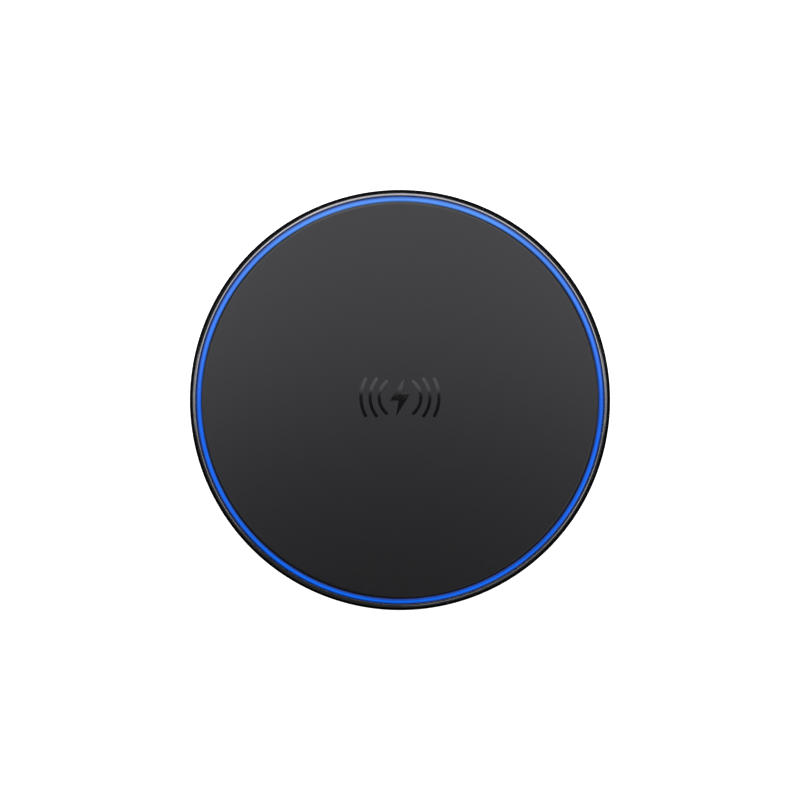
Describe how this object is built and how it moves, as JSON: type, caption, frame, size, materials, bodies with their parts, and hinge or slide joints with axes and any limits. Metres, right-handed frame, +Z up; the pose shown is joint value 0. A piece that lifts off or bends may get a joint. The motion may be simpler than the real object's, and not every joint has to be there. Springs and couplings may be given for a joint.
{
  "type": "wireless charging pad",
  "caption": "Flat round wireless charging pad with a matte black top, a lit blue ring round it, a glossy bezel, a rubber foot ring and a power socket at the back.",
  "frame": {"origin": "on the surface that the pad stands on, below the pad's centre", "axes": "+Z up through the middle of the disc; +Y towards the back edge, which holds the power socket; +X to the right as seen from the front"},
  "size_m": [0.1, 0.1, 0.008],
  "materials": {
    "casing": "matte",
    "foot_rubber": "matte",
    "label": "satin",
    "cover": "matte",
    "light_guide": "gloss",
    "bezel": "gloss",
    "screw_steel": "satin",
    "board": "gloss",
    "socket_steel": "satin",
    "socket_plastic": "matte",
    "ferrite": "matte",
    "film": "satin",
    "copper": "satin",
    "chip": "matte",
    "capacitor": "matte",
    "lamp": "satin"
  },
  "bodies": {
    "root": {"base_housing": "casing", "foot_ring": "foot_rubber", "rating_label": "label", "top_cover": "cover", "light_guide": "light_guide", "bezel_ring": "bezel", "housing_screw_1": "screw_steel", "housing_screw_2": "screw_steel", "housing_screw_3": "screw_steel", "housing_screw_4": "screw_steel", "main_board": "board", "usb_shell": "socket_steel", "usb_tongue": "socket_plastic", "ferrite_shield": "ferrite", "coil_film": "film", "charging_coil": "copper", "thermistor": "chip", "controller_chip": "chip", "power_switch_1": "chip", "power_switch_2": "chip", "input_inductor": "ferrite", "input_capacitor_1": "capacitor", "input_capacitor_2": "capacitor", "resonant_capacitor_1": "capacitor", "resonant_capacitor_2": "capacitor", "resonant_capacitor_3": "capacitor", "resonant_capacitor_4": "capacitor", "ring_led_1": "lamp", "ring_led_2": "lamp", "ring_led_3": "lamp", "ring_led_4": "lamp", "ring_led_5": "lamp", "ring_led_6": "lamp", "ring_led_7": "lamp", "ring_led_8": "lamp"}
  },
  "joints": []
}
